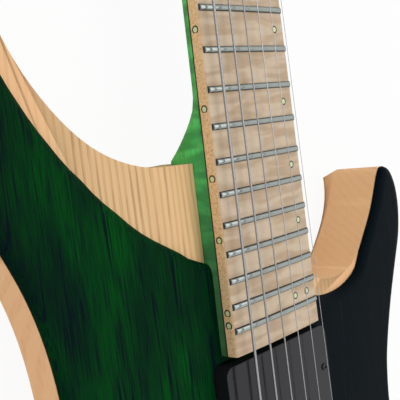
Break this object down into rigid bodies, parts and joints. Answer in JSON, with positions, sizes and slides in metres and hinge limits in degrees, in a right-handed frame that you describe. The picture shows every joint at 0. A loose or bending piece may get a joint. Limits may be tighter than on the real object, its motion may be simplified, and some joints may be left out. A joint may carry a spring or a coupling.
{
  "type": "headless electric guitar",
  "caption": "Headless electric guitar with a bolt-on neck, frets, a locking headpiece, a bridge with tuning knobs at the tail, pickups and controls.",
  "frame": {"origin": "on the flat back of the body, on the centreline, right below the saddle line", "axes": "+Z out of the face, +Y from the bridge to the head, +X towards the treble side"},
  "size_m": [0.2905, 0.7818, 0.058],
  "materials": {
    "natural_ash": "natural ash with a thin satin oil",
    "green_ash": "dark green stained ash, satin lacquer",
    "green_maple": "green stained flamed maple, satin",
    "flamed_maple": "pale flamed maple, satin, with stainless frets",
    "string_steel": "plain and wound steel strings",
    "black_metal": "satin black anodised metal",
    "black_plastic": "glossy black moulded plastic",
    "steel": "bare machined steel",
    "brass": "bare machined brass",
    "lead_jacket": "matt black jacket"
  },
  "bodies": {
    "root": {"body_core": "natural_ash", "body_top": "green_ash", "neck": "green_maple", "fingerboard": "flamed_maple", "string_1": "string_steel", "string_2": "string_steel", "string_3": "string_steel", "string_4": "string_steel", "string_5": "string_steel", "string_6": "string_steel", "headpiece": "black_metal", "bridge_plate": "black_metal", "output_jack": "black_metal", "strap_button_horn": "black_metal", "strap_button_tail": "black_metal", "neck_pickup": "black_plastic", "bridge_pickup": "black_plastic", "control_cover": "black_plastic", "truss_rod": "steel", "volume_pot": "steel", "tone_pot": "steel", "selector_switch": "steel", "neck_bolt_1": "steel", "neck_bolt_2": "steel", "neck_bolt_3": "steel", "neck_bolt_4": "steel", "pickup_lead": "lead_jacket", "jack_lead": "lead_jacket"},
    "tuner_knob_1": {"tuner_knob_1": "black_metal"},
    "string_carriage_1": {"string_carriage_1": "black_metal"},
    "saddle_1": {"saddle_1": "black_metal"},
    "lock_screw_1": {"lock_screw_1": "steel"},
    "tuner_knob_2": {"tuner_knob_2": "black_metal"},
    "string_carriage_2": {"string_carriage_2": "black_metal"},
    "saddle_2": {"saddle_2": "black_metal"},
    "lock_screw_2": {"lock_screw_2": "steel"},
    "tuner_knob_3": {"tuner_knob_3": "black_metal"},
    "string_carriage_3": {"string_carriage_3": "black_metal"},
    "saddle_3": {"saddle_3": "black_metal"},
    "lock_screw_3": {"lock_screw_3": "steel"},
    "tuner_knob_4": {"tuner_knob_4": "black_metal"},
    "string_carriage_4": {"string_carriage_4": "black_metal"},
    "saddle_4": {"saddle_4": "black_metal"},
    "lock_screw_4": {"lock_screw_4": "steel"},
    "tuner_knob_5": {"tuner_knob_5": "black_metal"},
    "string_carriage_5": {"string_carriage_5": "black_metal"},
    "saddle_5": {"saddle_5": "black_metal"},
    "lock_screw_5": {"lock_screw_5": "steel"},
    "tuner_knob_6": {"tuner_knob_6": "black_metal"},
    "string_carriage_6": {"string_carriage_6": "black_metal"},
    "saddle_6": {"saddle_6": "black_metal"},
    "lock_screw_6": {"lock_screw_6": "steel"},
    "volume_control": {"volume_knob": "black_metal", "volume_shaft": "steel"},
    "tone_control": {"tone_knob": "black_metal", "tone_shaft": "steel"},
    "selector": {"selector_lever": "steel", "selector_tip": "black_plastic"},
    "truss_rod_nut": {"truss_rod_nut": "brass"}
  },
  "joints": [
    {"name": "tuner_knob_1_turn", "type": "hinge", "parent": "root", "child": "tuner_knob_1", "pos_m": [0.0271, -0.0483, 0.0472], "axis": [0, 1, 0], "range_deg": [-1980, 1980]},
    {"name": "string_carriage_1_slide", "type": "slide", "parent": "root", "child": "string_carriage_1", "axis": [0, 1, 0], "range_m": [-0.0039, 0.0039], "deforming": ["string_1"]},
    {"name": "saddle_1_slide", "type": "slide", "parent": "root", "child": "saddle_1", "axis": [0, 1, 0], "range_m": [0, 0.004]},
    {"name": "lock_screw_1_turn", "type": "hinge", "parent": "root", "child": "lock_screw_1", "pos_m": [0.0176, 0.6607, 0.0503], "axis": [0, 0, 1], "range_deg": [0, 720]},
    {"name": "tuner_knob_2_turn", "type": "hinge", "parent": "root", "child": "tuner_knob_2", "pos_m": [0.01654, -0.0483, 0.0472], "axis": [0, 1, 0], "range_deg": [-1980, 1980]},
    {"name": "string_carriage_2_slide", "type": "slide", "parent": "root", "child": "string_carriage_2", "axis": [0, 1, 0], "range_m": [-0.0039, 0.0039], "deforming": ["string_2"]},
    {"name": "saddle_2_slide", "type": "slide", "parent": "root", "child": "saddle_2", "axis": [0, 1, 0], "range_m": [0, 0.004]},
    {"name": "lock_screw_2_turn", "type": "hinge", "parent": "root", "child": "lock_screw_2", "pos_m": [0.01056, 0.6607, 0.0503], "axis": [0, 0, 1], "range_deg": [0, 720]},
    {"name": "tuner_knob_3_turn", "type": "hinge", "parent": "root", "child": "tuner_knob_3", "pos_m": [0.00598, -0.0483, 0.0472], "axis": [0, 1, 0], "range_deg": [-1980, 1980]},
    {"name": "string_carriage_3_slide", "type": "slide", "parent": "root", "child": "string_carriage_3", "axis": [0, 1, 0], "range_m": [-0.0039, 0.0039], "deforming": ["string_3"]},
    {"name": "saddle_3_slide", "type": "slide", "parent": "root", "child": "saddle_3", "axis": [0, 1, 0], "range_m": [0, 0.004]},
    {"name": "lock_screw_3_turn", "type": "hinge", "parent": "root", "child": "lock_screw_3", "pos_m": [0.00352, 0.6607, 0.0503], "axis": [0, 0, 1], "range_deg": [0, 720]},
    {"name": "tuner_knob_4_turn", "type": "hinge", "parent": "root", "child": "tuner_knob_4", "pos_m": [-0.00458, -0.0483, 0.0472], "axis": [0, 1, 0], "range_deg": [-1980, 1980]},
    {"name": "string_carriage_4_slide", "type": "slide", "parent": "root", "child": "string_carriage_4", "axis": [0, 1, 0], "range_m": [-0.0039, 0.0039], "deforming": ["string_4"]},
    {"name": "saddle_4_slide", "type": "slide", "parent": "root", "child": "saddle_4", "axis": [0, 1, 0], "range_m": [0, 0.004]},
    {"name": "lock_screw_4_turn", "type": "hinge", "parent": "root", "child": "lock_screw_4", "pos_m": [-0.00352, 0.6607, 0.0503], "axis": [0, 0, 1], "range_deg": [0, 720]},
    {"name": "tuner_knob_5_turn", "type": "hinge", "parent": "root", "child": "tuner_knob_5", "pos_m": [-0.01514, -0.0483, 0.0472], "axis": [0, 1, 0], "range_deg": [-1980, 1980]},
    {"name": "string_carriage_5_slide", "type": "slide", "parent": "root", "child": "string_carriage_5", "axis": [0, 1, 0], "range_m": [-0.0039, 0.0039], "deforming": ["string_5"]},
    {"name": "saddle_5_slide", "type": "slide", "parent": "root", "child": "saddle_5", "axis": [0, 1, 0], "range_m": [0, 0.004]},
    {"name": "lock_screw_5_turn", "type": "hinge", "parent": "root", "child": "lock_screw_5", "pos_m": [-0.01056, 0.6607, 0.0503], "axis": [0, 0, 1], "range_deg": [0, 720]},
    {"name": "tuner_knob_6_turn", "type": "hinge", "parent": "root", "child": "tuner_knob_6", "pos_m": [-0.0257, -0.0483, 0.0472], "axis": [0, 1, 0], "range_deg": [-1980, 1980]},
    {"name": "string_carriage_6_slide", "type": "slide", "parent": "root", "child": "string_carriage_6", "axis": [0, 1, 0], "range_m": [-0.0039, 0.0039], "deforming": ["string_6"]},
    {"name": "saddle_6_slide", "type": "slide", "parent": "root", "child": "saddle_6", "axis": [0, 1, 0], "range_m": [0, 0.004]},
    {"name": "lock_screw_6_turn", "type": "hinge", "parent": "root", "child": "lock_screw_6", "pos_m": [-0.0176, 0.6607, 0.0503], "axis": [0, 0, 1], "range_deg": [0, 720]},
    {"name": "volume_turn", "type": "hinge", "parent": "root", "child": "volume_control", "pos_m": [0.068, 0.014, 0], "axis": [0, 0, 1], "range_deg": [-135, 135]},
    {"name": "tone_turn", "type": "hinge", "parent": "root", "child": "tone_control", "pos_m": [0.068, -0.02, 0], "axis": [0, 0, 1], "range_deg": [-135, 135]},
    {"name": "selector_tilt", "type": "hinge", "parent": "root", "child": "selector", "pos_m": [0.066, 0.043, 0.022], "axis": [1, 0, 0], "range_deg": [-20, 20]},
    {"name": "truss_rod_nut_turn", "type": "hinge", "parent": "root", "child": "truss_rod_nut", "pos_m": [0, 0.672, 0.0368], "axis": [0, 1, 0], "range_deg": [-360, 360]}
  ],
  "couplings": [
    {"joint": "string_carriage_1_slide", "follows": "tuner_knob_1_turn", "m_per_rad": -0.00011141},
    {"joint": "string_carriage_2_slide", "follows": "tuner_knob_2_turn", "m_per_rad": -0.00011141},
    {"joint": "string_carriage_3_slide", "follows": "tuner_knob_3_turn", "m_per_rad": -0.00011141},
    {"joint": "string_carriage_4_slide", "follows": "tuner_knob_4_turn", "m_per_rad": -0.00011141},
    {"joint": "string_carriage_5_slide", "follows": "tuner_knob_5_turn", "m_per_rad": -0.00011141},
    {"joint": "string_carriage_6_slide", "follows": "tuner_knob_6_turn", "m_per_rad": -0.00011141}
  ]
}
